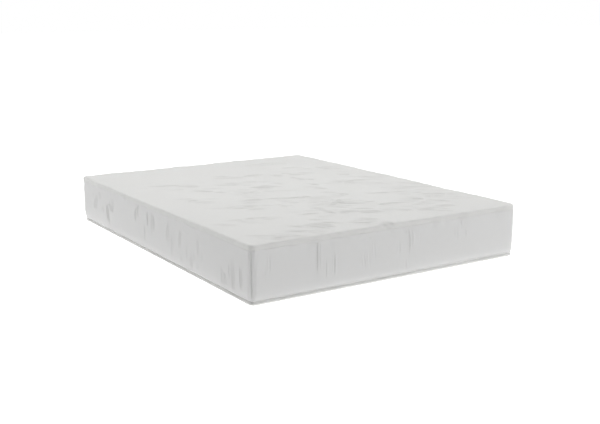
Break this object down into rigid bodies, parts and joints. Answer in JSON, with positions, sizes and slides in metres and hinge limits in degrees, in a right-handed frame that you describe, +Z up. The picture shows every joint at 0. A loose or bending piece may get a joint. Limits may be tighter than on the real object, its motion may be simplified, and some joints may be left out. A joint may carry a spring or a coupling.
{
  "type": "memory foam mattress",
  "caption": "Queen-size foam mattress: layered foam core in a fire-barrier sock and a zip-off stretch-knit cover with sewn upright corners.",
  "frame": {"origin": "centre of the face the mattress rests on, at floor height", "axes": "+X across the bed's width, +Y along its length towards the head, +Z up"},
  "size_m": [1.524, 2.0328, 0.2652],
  "materials": {
    "top_knit": "matte",
    "border_knit": "matte",
    "bottom_cloth": "matte",
    "zipper_tape": "matte",
    "zipper_coil": "satin",
    "zipper_metal": "satin",
    "memory_foam": "matte",
    "transition_foam": "matte",
    "base_foam": "matte",
    "barrier_knit": "matte",
    "elastic": "matte",
    "label_cloth": "satin"
  },
  "bodies": {
    "mattress": {"cover_top_panel": "top_knit", "cover_border_foot": "border_knit", "cover_border_right": "border_knit", "cover_border_head": "border_knit", "cover_border_left": "border_knit", "cover_bottom_panel": "bottom_cloth", "zipper_tape_upper": "zipper_tape", "zipper_tape_lower": "zipper_tape", "zipper_coil_upper": "zipper_coil", "zipper_coil_lower": "zipper_coil", "zipper_end_stop": "zipper_metal", "zipper_start_stop": "zipper_metal", "base_foam_core": "base_foam", "transition_foam_layer": "transition_foam", "memory_foam_layer": "memory_foam", "fire_barrier_sock": "barrier_knit", "sock_elastic_band": "elastic"},
    "slider": {"zipper_slider": "zipper_metal"},
    "pull_tab": {"zipper_pull_tab": "zipper_metal"},
    "label": {"law_label": "label_cloth"}
  },
  "joints": [
    {"name": "zipper_slide", "type": "slide", "parent": "mattress", "child": "slider", "axis": [-1, 0, 0], "range_m": [0, 1.29]},
    {"name": "pull_tab_swing", "type": "hinge", "parent": "slider", "child": "pull_tab", "pos_m": [0.596, 1.011, 0.0155], "axis": [0, 0, -1], "range_deg": [0, 175]},
    {"name": "label_lift", "type": "hinge", "parent": "mattress", "child": "label", "pos_m": [-0.509, 1.01655, 0.132], "axis": [1, 0, 0], "range_deg": [0, 150]}
  ]
}
